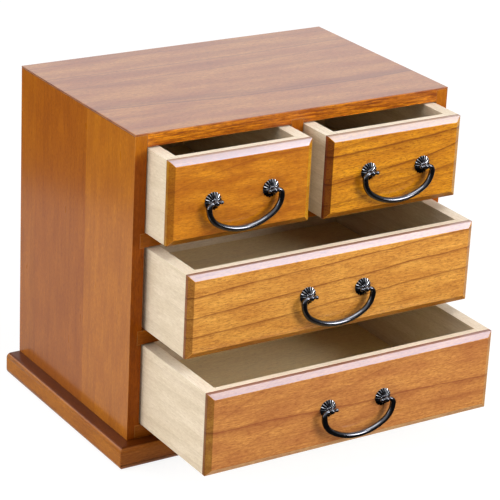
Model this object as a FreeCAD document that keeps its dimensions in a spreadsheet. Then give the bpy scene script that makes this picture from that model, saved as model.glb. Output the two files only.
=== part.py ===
import FreeCAD, Part
import math
import os
import re
import Sketcher
from FreeCAD import Placement, Rotation, Vector

# Desktop cabinet with four drawers, in millimetres.
# X runs to the right, Y from the front to the back, Z upwards.
# The origin is on the floor, in the middle of the back edge.

doc = FreeCAD.newDocument("desktop_cabinet")
sizes = doc.addObject("Spreadsheet::Sheet", "sizes")

driving_sizes = [
    ("case_width", 300, "over both side panels"),
    ("case_depth", 195, "front edge to back edge"),
    ("side_thick", 11, "side panel"),
    ("top_thick", 11.6, "top panel"),
    ("top_lap", 1.6, "top panel where it laps over a side panel"),
    ("bottom_thick", 11.7, "bottom board"),
    ("shelf_thick", 12, "board between two rows of drawers"),
    ("divider_thick", 11.4, "upright between the two small drawers"),
    ("row_height", 71.8, "clear height of each row"),
    ("dado_depth", 4, "how far a board is let into its neighbour"),
    ("back_thick", 5, "back panel"),
    ("rebate_width", 5, "back panel let into a side panel"),
    ("edge_round", 0.8, "top panel's upper edges"),
    ("plinth_height", 20.2, "moulding under the case"),
    ("plinth_overhang", 12.5, "moulding beyond the case"),
    ("plinth_width", 22.5, "moulding, across its section"),
    ("plinth_round", 4, "moulding's upper outer edge"),
    ("plinth_foot_round", 5.8, "moulding's lower outer edge"),
    ("plinth_rail", 16, "plain rear rail, front to back"),
    ("drawer_side", 11.2, "drawer side"),
    ("drawer_front", 5.6, "thin front of the drawer's box"),
    ("drawer_back", 8, "drawer back"),
    ("drawer_floor", 3, "drawer floor"),
    ("floor_rise", 5, "drawer floor above the drawer's lower edge"),
    ("groove_depth", 3, "drawer floor let into the walls"),
    ("groove_play", 0.2, "drawer floor to its groove, all round"),
    ("face_edge", 3.5, "square edge of the face board"),
    ("bevel_deep", 2.7, "bevel, front to back"),
    ("bevel_wide", 4.9, "bevel, across the face"),
    ("gap_under", 0.3, "drawer above the board it runs on"),
    ("gap_over", 1.1, "drawer below the board above it"),
    ("gap_beside", 0.8, "small drawer, each side"),
    ("gap_beside_wide", 1.5, "bottom drawer, each side"),
    ("gap_beside_middle", 2.2, "middle drawer, each side"),
    ("sit_middle", 1, "middle drawer to the right of the middle of its row"),
    ("gap_behind", 1, "closed drawer to the back panel"),
    ("open_top_left", 34.5, "how far the drawer stands out at rest"),
    ("open_top_right", 37.4, "how far the drawer stands out at rest"),
    ("open_middle", 65.4, "how far the drawer stands out at rest"),
    ("open_bottom", 103.8, "how far the drawer stands out at rest"),
    ("post_reach", 6, "eye of a post in front of the face"),
    ("post_ball", 5, "ball with the eye, across"),
    ("post_neck", 4.6, "collar that bears on the rosette, across"),
    ("post_shank", 3.2, "threaded shank, across"),
    ("shank_play", 0.2, "shank to its hole, each side"),
    ("rosette_across", 15.6, "rosette, across its rim"),
    ("rosette_rim", 0.8, "rosette's thickness at the rim"),
    ("rosette_deep", 3, "rosette's height at the middle"),
    ("rosette_hub", 4.6, "flat middle of the rosette, across"),
    ("rosette_dome", 8.5, "radius of the dome's curve"),
    ("flute_across", 1.35, "one flute, across"),
    ("flute_rise", 0.34, "a flute's middle line outside the dome's slope"),
    ("flute_start", 0.9, "a flute's inner end outside the hub"),
    ("flute_count", 22, "flutes round a rosette"),
    ("nut_across", 5.5, "nut, across its flats"),
    ("nut_thick", 2.4, "nut"),
    ("thread_over", 1, "shank beyond the nut"),
    ("pin_across", 2.6, "bail's end in the eye"),
    ("eye_play", 0.08, "bail's end to the eye, each side"),
    ("tip_across", 3.4, "ball that keeps the bail in its eye"),
    ("tip_inset", 4.7, "that ball inside the post's middle"),
    ("bail_half", 33.4, "middle of the bail to its wire, sideways"),
    ("bail_drop", 25.8, "eye to the lowest wire, along the middle"),
    ("bail_run", 0.3, "straight wire between the post's ball and its bend"),
    ("bail_elbow", 3.9, "bend beside the post, at mid wire"),
    ("bail_shoulder", 17, "bend at the side, at mid wire"),
    ("bail_thick", 4.6, "wire at the bottom of the bail"),
    ("bail_side", 4.9, "wire at the end of the bend beside the post"),
    ("bail_neck", 3.6, "wire beside the post"),
    ("tilt_top_left", 2.7, "pull out of level, right end up, degrees"),
    ("tilt_top_right", -2.15, "pull out of level, right end up, degrees"),
    ("tilt_middle", -1.95, "pull out of level, right end up, degrees"),
    ("tilt_bottom", -1.05, "pull out of level, right end up, degrees"),
    ("rise_top_left", -1.3, "pull above the middle of its face"),
    ("rise_top_right", -0.2, "pull above the middle of its face"),
    ("rise_middle", -1.5, "pull above the middle of its face"),
    ("rise_bottom", -0.2, "pull above the middle of its face"),
    ("shift_top_left", 0.1, "pull to the right of the middle of its face"),
    ("shift_top_right", 0.9, "pull to the right of the middle of its face"),
    ("shift_middle", 0.4, "pull to the right of the middle of its face"),
    ("shift_bottom", 0.9, "pull to the right of the middle of its face"),
]
for line, (alias, value, meaning) in enumerate(driving_sizes, start=1):
    sizes.set(f"A{line}", alias)
    sizes.set(f"B{line}", str(value))
    sizes.set(f"C{line}", meaning)
    sizes.setAlias(f"B{line}", alias)
doc.recompute()
aliases = {alias for alias, _, _ in driving_sizes}

# Places that several pieces share, worked out from the driving sizes.
half_case = "case_width / 2"
half_inside = "(case_width / 2 - side_thick)"
row_pitch = "(row_height + shelf_thick)"
case_height = "(bottom_thick + 3 * row_height + 2 * shelf_thick + top_thick)"
top_underside = f"({case_height} - top_thick)"
lap_underside = f"({case_height} - top_lap)"
board_depth = "(case_depth - back_thick)"
board_half = f"({half_inside} + dado_depth)"
upper_shelf_top = f"(bottom_thick + 2 * {row_pitch})"
moulding_x = "(case_width / 2 + plinth_overhang)"
moulding_y = "(case_depth + plinth_overhang)"
drawer_height = "(row_height - gap_under - gap_over)"
drawer_depth = f"({board_depth} - gap_behind)"
small_width = "((case_width - divider_thick) / 2 - side_thick - 2 * gap_beside)"
wide_width = f"(2 * {half_inside} - 2 * gap_beside_wide)"
middle_width = f"(2 * {half_inside} - 2 * gap_beside_middle)"
small_centre = "(case_width / 4 - side_thick / 2 + divider_thick / 4)"
face_thick = "(face_edge + bevel_deep)"
front_inside = f"({face_thick} + drawer_front)"
post_half = "(bail_half - bail_elbow - bail_run - post_ball / 2)"
eye_radius = "(pin_across / 2 + eye_play)"
hole_radius = "(post_shank / 2 + shank_play)"

fixed_planes = {"XY": "XY_Plane", "XZ": "XZ_Plane", "YZ": "YZ_Plane"}
exports = []


def formula(text):
    """The text with every size's name pointing at the sheet."""
    def named(found):
        return "sizes." + found[0] if found[0] in aliases else found[0]
    return re.sub(r"[a-z_]+", named, str(text))


def number(text):
    """The value of a formula in plain millimetres or degrees."""
    return float(sizes.evalExpression(formula(text)))


def bind(item, name, text):
    """Tie one property of an object to the sheet."""
    item.setExpression(name, formula(text))


def place(item, x="0", y="0", z="0"):
    """Tie an object's place to the sheet."""
    for axis, text in (("x", x), ("y", y), ("z", z)):
        bind(item, f".Placement.Base.{axis}", text)


def new_body(label):
    body = doc.addObject("PartDesign::Body", label)
    body.Label = label
    return body


def new_sketch(body, name, plane, lift="0"):
    """A sketch on one of the body's own planes, lifted along its normal."""
    sketch = body.newObject("Sketcher::SketchObject", name)
    role = fixed_planes[plane]
    support = next(item for item in body.Origin.OriginFeatures if item.Role == role)
    sketch.AttachmentSupport = (support, [""])
    sketch.MapMode = "FlatFace"
    bind(sketch, ".AttachmentOffset.Base.z", lift)
    return sketch


def fix_point(sketch, edge, end, x, y):
    """Dimension one point of a sketch from its origin."""
    for kind, text in (("DistanceX", x), ("DistanceY", y)):
        rule = Sketcher.Constraint(kind, -1, 1, edge, end, number(text))
        bind(sketch, f"Constraints[{sketch.addConstraint(rule)}]", text)


def add_edge(sketch, start, stop, radius):
    """A line, or an arc that turns left for a positive radius and right for a negative one."""
    if radius == "0":
        return sketch.addGeometry(Part.LineSegment(start, stop), False), 1, 2
    size = number(radius)
    chord = stop - start
    rise = math.sqrt(size * size - chord.Length ** 2 / 4)
    left = Vector(-chord.y, chord.x, 0).normalize()
    centre = (start + stop) / 2 + left * math.copysign(rise, size)
    first, last = (start, stop) if size > 0 else (stop, start)
    angles = [math.atan2(end.y - centre.y, end.x - centre.x) for end in (first, last)]
    circle = Part.Circle(centre, Vector(0, 0, 1), abs(size))
    edge = sketch.addGeometry(Part.ArcOfCircle(circle, *angles), False)
    rule = Sketcher.Constraint("Radius", edge, abs(size))
    bind(sketch, f"Constraints[{sketch.addConstraint(rule)}]", f"abs({radius})")
    return (edge, 1, 2) if size > 0 else (edge, 2, 1)


def draw(sketch, corners, closed=True):
    """Join corners (x, y) or (x, y, radius of the edge that leaves it), each one dimensioned."""
    corners = [corner if len(corner) == 3 else (*corner, "0") for corner in corners]
    points = [Vector(number(x), number(y), 0) for x, y, _ in corners]
    count = len(corners) if closed else len(corners) - 1
    ends = []
    for spot in range(count):
        stop = points[(spot + 1) % len(points)]
        ends.append(add_edge(sketch, points[spot], stop, corners[spot][2]))
    for spot in range(count if closed else count - 1):
        edge, _, last = ends[spot]
        follower, first, _ = ends[(spot + 1) % count]
        sketch.addConstraint(Sketcher.Constraint("Coincident", edge, last, follower, first))
    for spot in range(count):
        edge, first, _ = ends[spot]
        fix_point(sketch, edge, first, corners[spot][0], corners[spot][1])
    if not closed:
        edge, _, last = ends[-1]
        fix_point(sketch, edge, last, corners[-1][0], corners[-1][1])


def outline(body, name, plane, *loops, lift="0"):
    """A sketch of one or more closed outlines."""
    sketch = new_sketch(body, name, plane, lift)
    for corners in loops:
        draw(sketch, corners)
    return sketch


def circles(body, name, plane, radius, *centres, lift="0"):
    """A sketch of equal circles."""
    sketch = new_sketch(body, name, plane, lift)
    for x, y in centres:
        circle = Part.Circle(Vector(number(x), number(y), 0), Vector(0, 0, 1), number(radius))
        edge = sketch.addGeometry(circle, False)
        rule = Sketcher.Constraint("Radius", edge, number(radius))
        bind(sketch, f"Constraints[{sketch.addConstraint(rule)}]", radius)
        fix_point(sketch, edge, 3, x, y)
    return sketch


def rectangle(x1, x2, y1, y2):
    return [(x1, y1), (x2, y1), (x2, y2), (x1, y2)]


def pad(body, sketch, length, name, backwards=False):
    feature = body.newObject("PartDesign::Pad", name)
    feature.Profile = sketch
    bind(feature, "Length", length)
    feature.Reversed = backwards
    return feature


def pad_both_ways(body, sketch, length, name):
    feature = pad(body, sketch, length, name)
    feature.Midplane = True
    return feature


def cut_through(body, sketch, name):
    """Cut a sketch right through the body, both ways from its plane."""
    doc.recompute()
    before = body.Shape.Volume
    feature = body.newObject("PartDesign::Pocket", name)
    feature.Profile = sketch
    feature.Type = "ThroughAll"
    feature.Midplane = True
    doc.recompute()
    if body.Shape.Volume >= before:
        raise RuntimeError(f"{body.Label}: {name} removes nothing")
    return feature


def edges_at(feature, test):
    """Names of the feature's edges whose middle passes the test."""
    doc.recompute()
    found = []
    for spot, edge in enumerate(feature.Shape.Edges, start=1):
        if test(edge.CenterOfMass):
            found.append(f"Edge{spot}")
    return found


def round_edges(body, feature, radius, name, test):
    fillet = body.newObject("PartDesign::Fillet", name)
    fillet.Base = (feature, edges_at(feature, test))
    bind(fillet, "Radius", radius)
    return fillet


def near(one, other):
    return abs(one - other) < 0.001


def board(label, x1, x2, y1, y2, z, height):
    """A plain board, drawn from above."""
    body = new_body(label)
    plan = outline(body, label + "_plan", "XY", rectangle(x1, x2, y1, y2))
    pad(body, plan, height, label + "_board")
    place(body, z=z)
    return body


def export(item):
    exports.append(item)
    return item


def side_panel(label, side):
    """Upright panel, rebated for the back and dadoed for the boards, side -1 left or 1 right."""
    body = new_body(label)
    outer = f"{side} * {half_case}"
    inner = f"{side} * {half_inside}"
    rebate = f"{side} * ({half_inside} + rebate_width)"
    dado = f"{side} * {board_half}"
    plan = [
        (outer, "-case_depth"),
        (outer, "0"),
        (rebate, "0"),
        (rebate, "-back_thick"),
        (inner, "-back_thick"),
        (inner, "-case_depth"),
    ]
    pad(body, outline(body, label + "_plan", "XY", plan), lap_underside, label + "_board")
    floors = [f"bottom_thick + {row} * {row_pitch}" for row in range(3)]
    seats = [rectangle(inner, dado, "0", floors[0])]
    for floor in floors[1:]:
        seats.append(rectangle(inner, dado, f"{floor} - shelf_thick", floor))
    cut_through(body, outline(body, label + "_seats", "XZ", *seats), label + "_dados")
    place(body, z="plinth_height")
    return export(body)


def top_panel():
    """Top board, lapped over the side panels, with its upper edges eased."""
    body = new_body("top_panel")
    slot = "divider_thick / 2"
    slot_top = f"{top_underside} + dado_depth"
    front = [
        (f"-{half_case}", lap_underside),
        (f"-{half_inside}", lap_underside),
        (f"-{half_inside}", top_underside),
        (f"-{slot}", top_underside),
        (f"-{slot}", slot_top),
        (slot, slot_top),
        (slot, top_underside),
        (half_inside, top_underside),
        (half_inside, lap_underside),
        (half_case, lap_underside),
        (half_case, case_height),
        (f"-{half_case}", case_height),
    ]
    pad(body, outline(body, "top_front", "XZ", front), "case_depth", "top_board")
    seat = rectangle("-back_thick", "0", top_underside, lap_underside)
    rebate = cut_through(body, outline(body, "top_back_seat", "YZ", seat), "top_rebate")
    height = number(case_height)
    round_edges(body, rebate, "edge_round", "top_eased", lambda spot: near(spot.z, height))
    place(body, z="plinth_height")
    return export(body)


def shelves():
    """Bottom board and the two boards between the rows, all let into the side panels."""
    width = (f"-{board_half}", board_half)
    depth = ("-case_depth", "-back_thick")
    export(board("bottom_board", *width, *depth, "plinth_height", "bottom_thick"))
    lower = "plinth_height + bottom_thick + row_height"
    export(board("shelf_lower", *width, *depth, lower, "shelf_thick"))
    upper = new_body("shelf_upper")
    plan = outline(upper, "shelf_upper_plan", "XY", rectangle(*width, *depth))
    pad(upper, plan, "shelf_thick", "shelf_upper_board")
    slot = rectangle(
        "-divider_thick / 2", "divider_thick / 2", "shelf_thick - dado_depth", "shelf_thick"
    )
    cut_through(upper, outline(upper, "shelf_upper_seat", "XZ", slot), "shelf_upper_dado")
    place(upper, z=f"{lower} + {row_pitch}")
    export(upper)


def drawer_divider():
    """Upright between the small drawers, let into the board below and the top above."""
    body = board(
        "drawer_divider",
        "-divider_thick / 2", "divider_thick / 2",
        "-case_depth", "-back_thick",
        f"plinth_height + {upper_shelf_top} - dado_depth",
        "row_height + 2 * dado_depth",
    )
    return export(body)


def back_panel():
    """Thin panel in the rebates of the side panels and the top, over the boards' back edges."""
    edge = f"({half_inside} + rebate_width)"
    depth = ("-back_thick", "0")
    return export(board("back_panel", f"-{edge}", edge, *depth, "plinth_height", lap_underside))


def plinth_front():
    """Front moulding: rounded above and below, mitred at both ends."""
    body = new_body("plinth_front")
    section = rectangle(f"-{moulding_y}", f"-{moulding_y} + plinth_width", "0", "plinth_height")
    profile = outline(body, "plinth_front_section", "YZ", section)
    bar = pad_both_ways(body, profile, f"2 * {moulding_x}", "plinth_front_bar")
    outer = -number(moulding_y)
    top = number("plinth_height")
    upper = round_edges(
        body, bar, "plinth_round", "plinth_front_upper",
        lambda spot: near(spot.y, outer) and near(spot.z, top),
    )
    lower = round_edges(
        body, upper, "plinth_foot_round", "plinth_front_lower",
        lambda spot: near(spot.y, outer) and near(spot.z, 0),
    )
    corners = []
    for side in (-1, 1):
        outside = f"{side} * {moulding_x}"
        inside = f"{side} * ({moulding_x} - plinth_width)"
        back = f"-{moulding_y} + plinth_width"
        corners.append([(outside, f"-{moulding_y}"), (outside, back), (inside, back)])
    cut_through(body, outline(body, "plinth_front_corners", "XY", *corners), "plinth_front_mitres")
    return export(body)


def plinth_side(label, side):
    """Side moulding: square at the back, mitred at the front, side -1 left or 1 right."""
    body = new_body(label)
    outside = f"{side} * {moulding_x}"
    inside = f"{side} * ({moulding_x} - plinth_width)"
    profile = outline(
        body, label + "_section", "XZ", rectangle(outside, inside, "0", "plinth_height")
    )
    bar = pad(body, profile, moulding_y, label + "_bar")
    outer = side * number(moulding_x)
    top = number("plinth_height")
    upper = round_edges(
        body, bar, "plinth_round", label + "_upper",
        lambda spot: near(spot.x, outer) and near(spot.z, top),
    )
    round_edges(
        body, upper, "plinth_foot_round", label + "_lower",
        lambda spot: near(spot.x, outer) and near(spot.z, 0),
    )
    corner = [
        (outside, f"-{moulding_y}"),
        (inside, f"-{moulding_y}"),
        (inside, f"-{moulding_y} + plinth_width"),
    ]
    cut_through(body, outline(body, label + "_corner", "XY", corner), label + "_mitre")
    return export(body)


def plinth_rear():
    """Plain rail between the side mouldings, flush with the back."""
    edge = f"({moulding_x} - plinth_width)"
    return export(board("plinth_rear", f"-{edge}", edge, "-plinth_rail", "0", "0", "plinth_height"))


def pull_centre(name):
    """Height of a pull's middle above its drawer's lower edge."""
    return f"({drawer_height} / 2 + rise_{name})"


def post_spots(name):
    """Where the two posts pass through a drawer's front, seen from the front."""
    reach = f"{post_half} * cos(tilt_{name})"
    lift = f"{post_half} * sin(tilt_{name})"
    middle = pull_centre(name)
    return [
        (f"shift_{name} - {reach}", f"{middle} - {lift}"),
        (f"shift_{name} + {reach}", f"{middle} + {lift}"),
    ]


def drawer_face(name, half):
    """Face board, bevelled all round its front."""
    body = new_body(name + "_face")
    plate = rectangle(f"-{half}", half, "0", drawer_height)
    profile = outline(body, name + "_face_outline", "XZ", plate)
    slab = pad(body, profile, face_thick, name + "_face_board", backwards=True)
    bevel = body.newObject("PartDesign::Chamfer", name + "_face_bevel")
    bevel.Base = (slab, edges_at(slab, lambda spot: near(spot.y, 0)))
    bevel.ChamferType = "Two distances"
    bind(bevel, "Size", "bevel_deep")
    bind(bevel, "Size2", "bevel_wide")
    holes = circles(body, name + "_face_holes", "XZ", hole_radius, *post_spots(name))
    cut_through(body, holes, name + "_face_drilled")
    return body


def drawer_front(name, half):
    """Thin front of the box, between its sides, behind the face board."""
    inner = f"({half} - drawer_side)"
    depth = (face_thick, front_inside)
    body = board(name + "_inner_front", f"-{inner}", inner, *depth, "0", drawer_height)
    groove = rectangle(f"{front_inside} - groove_depth", front_inside, *floor_groove())
    cut_through(body, outline(body, name + "_front_slot", "YZ", groove), name + "_front_groove")
    holes = circles(body, name + "_front_holes", "XZ", hole_radius, *post_spots(name))
    cut_through(body, holes, name + "_front_drilled")
    return body


def floor_groove():
    """Lower and upper edge of the groove round the inside of a drawer."""
    return "floor_rise", "floor_rise + drawer_floor + 2 * groove_play"


def drawer_side(name, half, hand, side):
    """One side of a box, grooved for the floor, side -1 left or 1 right."""
    outer = f"{side} * {half}"
    inner = f"{side} * ({half} - drawer_side)"
    body = board(f"{name}_side_{hand}", outer, inner, face_thick, drawer_depth, "0", drawer_height)
    slot = rectangle(inner, f"{inner} + {side} * groove_depth", *floor_groove())
    sketch = outline(body, f"{name}_side_{hand}_slot", "XZ", slot)
    cut_through(body, sketch, f"{name}_side_{hand}_groove")
    return body


def drawer_back(name, half):
    """Back of the box, between its sides."""
    inner = f"({half} - drawer_side)"
    front = f"({drawer_depth} - drawer_back)"
    body = board(name + "_back", f"-{inner}", inner, front, drawer_depth, "0", drawer_height)
    groove = rectangle(front, f"{front} + groove_depth", *floor_groove())
    cut_through(body, outline(body, name + "_back_slot", "YZ", groove), name + "_back_groove")
    return body


def drawer_floor(name, half):
    """Thin floor in the grooves of the four walls."""
    reach = "(groove_depth - groove_play)"
    edge = f"({half} - drawer_side + {reach})"
    body = new_body(name + "_floor")
    plan = rectangle(
        f"-{edge}", edge,
        f"{front_inside} - {reach}",
        f"{drawer_depth} - drawer_back + {reach}",
    )
    sketch = outline(body, name + "_floor_plan", "XY", plan, lift="floor_rise + groove_play")
    pad(body, sketch, "drawer_floor", name + "_floor_board")
    return body


def drawer(name, width, centre, row):
    """One drawer: a box of six boards and its pull, standing out by its own distance."""
    half = f"({width} / 2)"
    pieces = [
        drawer_face(name, half),
        drawer_front(name, half),
        drawer_side(name, half, "left", -1),
        drawer_side(name, half, "right", 1),
        drawer_back(name, half),
        drawer_floor(name, half),
    ]
    front = f"-(case_depth + open_{name})"
    lower = f"plinth_height + bottom_thick + {row} * {row_pitch} + gap_under"
    for piece in pieces:
        place(piece, centre, front, lower)
        export(piece)
    for kind, forms in pull_forms.items():
        group = doc.addObject("Part::Compound", f"{name}_{kind}")
        group.Label = f"{name}_{kind}"
        group.Links = forms
        group.Placement = Placement(Vector(), Rotation(Vector(0, 1, 0), 1))
        bind(group, ".Placement.Rotation.Angle", f"-tilt_{name}")
        place(group, f"{centre} + shift_{name}", front, f"{lower} + {pull_centre(name)}")
        export(group)


def mirrored_pair(form):
    """The form beside the pull's middle, and its mirror image on the other side."""
    place(form, x=post_half)
    twin = doc.addObject("Part::Mirroring", form.Label + "_twin")
    twin.Source = form
    twin.Normal = Vector(1, 0, 0)
    return [form, twin]


def rosette_form():
    """Round domed plate with flutes from its hub to its rim."""
    body = new_body("rosette_form")
    rim = "rosette_across / 2"
    hub = "rosette_hub / 2"
    half = [
        ("0", hole_radius),
        ("0", rim),
        ("-rosette_rim", rim, "rosette_dome"),
        ("-rosette_deep", hub),
        ("-rosette_deep", hole_radius),
    ]
    sketch = outline(body, "rosette_half", "YZ", half)
    dome = body.newObject("PartDesign::Revolution", "rosette_dome_shape")
    dome.Profile = sketch
    dome.ReferenceAxis = (sketch, ["H_Axis"])
    dome.Angle = 360
    flute = body.newObject("PartDesign::SubtractiveCylinder", "rosette_flute")
    bind(flute, "Radius", "flute_across / 2")
    bind(flute, "Height", "rosette_across")
    flute.Placement = Placement(Vector(), Rotation(Vector(1, 0, 0), -1))
    slope = f"atan2(rosette_deep - rosette_rim; {rim} - {hub})"
    bind(flute, ".Placement.Rotation.Angle", f"-{slope}")
    place(flute, y="-(rosette_deep + flute_rise)", z=f"{hub} + flute_start")
    doc.recompute()
    flutes = body.newObject("PartDesign::PolarPattern", "rosette_flutes")
    flutes.Originals = [flute]
    flutes.Axis = (sketch, ["H_Axis"])
    flutes.Angle = 360
    bind(flutes, "Occurrences", "flute_count")
    body.Tip = flutes
    return body


def post_form():
    """Shank, collar and ball of one post, with the eye bored through the ball."""
    body = new_body("post_form")
    inner_end = f"({front_inside} + nut_thick + thread_over)"
    half = [
        (inner_end, "0"),
        (inner_end, "post_shank / 2"),
        ("-rosette_deep", "post_shank / 2"),
        ("-rosette_deep", "post_neck / 2"),
        ("-(rosette_deep + post_reach - post_ball / 2) / 2", "post_neck / 2"),
        ("-(post_reach - post_ball / 4)", "post_shank / 2"),
        ("-post_reach", "post_shank / 2"),
        ("-post_reach", "0"),
    ]
    sketch = outline(body, "post_half", "YZ", half)
    stem = body.newObject("PartDesign::Revolution", "post_stem")
    stem.Profile = sketch
    stem.ReferenceAxis = (sketch, ["H_Axis"])
    stem.Angle = 360
    ball = body.newObject("PartDesign::AdditiveSphere", "post_ball_shape")
    bind(ball, "Radius", "post_ball / 2")
    place(ball, y="-post_reach")
    eye = circles(body, "post_eye", "YZ", eye_radius, ("-post_reach", "0"))
    cut_through(body, eye, "post_eye_bore")
    return body


def nut_form():
    """Hexagon nut against the inside of the drawer's front."""
    body = new_body("nut_form")
    corner_radius = "nut_across / 2 / cos(30)"
    corners = []
    for corner in range(6):
        corners.append((
            f"{corner_radius} * cos({60 * corner})",
            f"{corner_radius} * sin({60 * corner})",
        ))
    sketch = outline(body, "nut_outline", "XZ", corners, lift=f"-{front_inside}")
    pad(body, sketch, "nut_thick", "nut_block", backwards=True)
    bore = circles(body, "nut_bore", "XZ", "post_shank / 2 + shank_play / 4", ("0", "0"))
    cut_through(body, bore, "nut_bored")
    return body


def bail_form():
    """Swinging handle: wire that swells beside its posts, with a pin and a ball at each end."""
    body = new_body("bail_form")
    start = f"({post_half} + post_ball / 2)"
    fall = "(bail_drop - bail_elbow)"
    inset = "(bail_half - bail_shoulder)"
    sweep = (
        f"(({inset} ^ 2 + {fall} ^ 2 - bail_shoulder ^ 2)"
        f" / (2 * ({fall} - bail_shoulder)))"
    )
    share = f"({sweep} / ({sweep} - bail_shoulder))"
    join_x = f"{inset} * {share}"
    join_z = f"{sweep} - bail_drop - ({sweep} - {fall}) * {share}"
    right = [
        (start, "0"),
        ("bail_half - bail_elbow", "0", "-bail_elbow"),
        ("bail_half", "-bail_elbow", "-bail_shoulder"),
        (join_x, join_z, f"-{sweep}"),
    ]
    left = [
        (f"-({join_x})", join_z, "-bail_shoulder"),
        ("-bail_half", "-bail_elbow", "-bail_elbow"),
        ("-(bail_half - bail_elbow)", "0"),
        (f"-{start}", "0"),
    ]
    spine = new_sketch(body, "bail_path", "XZ")
    draw(spine, right + left, closed=False)
    neck = "bail_neck / 2"
    first = circles(body, "bail_first", "YZ", neck, ("0", "0"), lift=start)
    sections = [
        circles(body, "bail_right", "XY", "bail_side / 2", ("bail_half", "0"), lift="-bail_elbow"),
        circles(body, "bail_middle", "YZ", "bail_thick / 2", ("0", "-bail_drop")),
        circles(body, "bail_left", "XY", "bail_side / 2", ("-bail_half", "0"), lift="-bail_elbow"),
        circles(body, "bail_last", "YZ", neck, ("0", "0"), lift=f"-{start}"),
    ]
    wire = body.newObject("PartDesign::AdditivePipe", "bail_wire")
    wire.Profile = first
    wire.Spine = (spine, [])
    wire.Transformation = "Multisection"
    wire.Sections = [(section, [""]) for section in sections]
    for hand, side in (("right", 1), ("left", -1)):
        tip = f"{side} * ({post_half} - tip_inset)"
        pin = circles(body, f"bail_pin_{hand}", "YZ", "pin_across / 2", ("0", "0"), lift=tip)
        pad(body, pin, "tip_inset + post_ball / 2", f"bail_end_{hand}", backwards=side < 0)
        ball = body.newObject("PartDesign::AdditiveSphere", f"bail_tip_{hand}")
        bind(ball, "Radius", "tip_across / 2")
        place(ball, x=tip)
    place(body, y="-post_reach")
    return body


def check_document():
    """Stop if any object failed or any exported shape is empty or broken."""
    doc.recompute()
    for item in doc.Objects:
        if "Invalid" in item.State or "Error" in item.State:
            raise RuntimeError(f"{item.Label} failed: {item.State}")
    for item in exports:
        if item.Shape.isNull() or not item.Shape.isValid():
            raise RuntimeError(f"{item.Label} has a broken shape")


side_panel("side_panel_left", -1)
side_panel("side_panel_right", 1)
top_panel()
shelves()
drawer_divider()
back_panel()
plinth_front()
plinth_side("plinth_left", -1)
plinth_side("plinth_right", 1)
plinth_rear()

pull_forms = {
    "rosettes": mirrored_pair(rosette_form()),
    "posts": mirrored_pair(post_form()),
    "nuts": mirrored_pair(nut_form()),
    "bail": [bail_form()],
}
drawer("top_left", small_width, f"-{small_centre}", 2)
drawer("top_right", small_width, small_centre, 2)
drawer("middle", middle_width, "sit_middle", 1)
drawer("bottom", wide_width, "0", 0)

check_document()
os.makedirs("parts", exist_ok=True)
for item in exports:
    item.Shape.exportStep(f"parts/{item.Label}.step")
print(len(exports), "sub-parts written")
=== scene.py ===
import math

import bmesh
import bpy
from mathutils import Matrix, Vector


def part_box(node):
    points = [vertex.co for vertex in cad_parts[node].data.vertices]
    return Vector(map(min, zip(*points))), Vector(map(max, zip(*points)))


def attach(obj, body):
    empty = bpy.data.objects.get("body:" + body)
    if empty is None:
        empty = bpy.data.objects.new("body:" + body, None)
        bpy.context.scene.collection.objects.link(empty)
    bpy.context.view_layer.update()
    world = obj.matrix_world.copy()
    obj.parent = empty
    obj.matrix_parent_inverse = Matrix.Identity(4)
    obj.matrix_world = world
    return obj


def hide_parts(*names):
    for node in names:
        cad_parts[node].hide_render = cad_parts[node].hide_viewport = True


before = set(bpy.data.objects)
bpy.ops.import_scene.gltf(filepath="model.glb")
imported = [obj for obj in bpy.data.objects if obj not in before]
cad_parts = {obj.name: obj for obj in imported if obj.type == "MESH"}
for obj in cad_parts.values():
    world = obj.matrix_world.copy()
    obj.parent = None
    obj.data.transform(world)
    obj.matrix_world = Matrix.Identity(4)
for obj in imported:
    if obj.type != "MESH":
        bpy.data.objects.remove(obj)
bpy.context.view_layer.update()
mm = 0.001
scene = bpy.context.scene
print("frame loaded,", len(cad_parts), "nodes")


# shader maths

class Wire:  # one output of a node, so that shader maths reads as plain sums
    def __init__(self, graph, socket):
        self.graph = graph
        self.socket = socket

    def maths(self, operation, *values):
        return self.graph.add("ShaderNodeMath", {"operation": operation}, values)

    def __add__(self, other):
        return self.maths("ADD", self, other)

    def __radd__(self, other):
        return self.maths("ADD", other, self)

    def __sub__(self, other):
        return self.maths("SUBTRACT", self, other)

    def __rsub__(self, other):
        return self.maths("SUBTRACT", other, self)

    def __mul__(self, other):
        return self.maths("MULTIPLY", self, other)

    def __rmul__(self, other):
        return self.maths("MULTIPLY", other, self)

    def __truediv__(self, other):
        return self.maths("DIVIDE", self, other)

    def __rtruediv__(self, other):
        return self.maths("DIVIDE", other, self)

    def __abs__(self):
        return self.maths("ABSOLUTE", self)

    def higher(self, other):
        return self.maths("MAXIMUM", self, other)

    def lower(self, other):
        return self.maths("MINIMUM", self, other)


class Graph:  # the node tree of a material or of the world
    def __init__(self, owner):
        owner.use_nodes = True
        self.tree = owner.node_tree
        self.tree.nodes.clear()

    def add(self, kind, settings=None, sockets=(), output=0):
        node = self.tree.nodes.new(kind)
        for name, value in (settings or {}).items():
            if name == "stops":
                fillRamp(node.color_ramp, value)
            else:
                setattr(node, name, value)
        shown = [socket for socket in node.inputs if socket.enabled]
        pairs = sockets.items() if isinstance(sockets, dict) else enumerate(sockets)
        for key, value in pairs:
            socket = shown[key] if isinstance(key, int) else node.inputs[key]
            if isinstance(value, Wire):
                self.tree.links.new(value.socket, socket)
            elif socket.type == "RGBA" and len(value) == 3:
                socket.default_value = (*value, 1)
            else:
                socket.default_value = value
        given = [socket for socket in node.outputs if socket.enabled]
        if not given:
            return None
        return Wire(self, given[output] if isinstance(output, int) else node.outputs[output])


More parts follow.
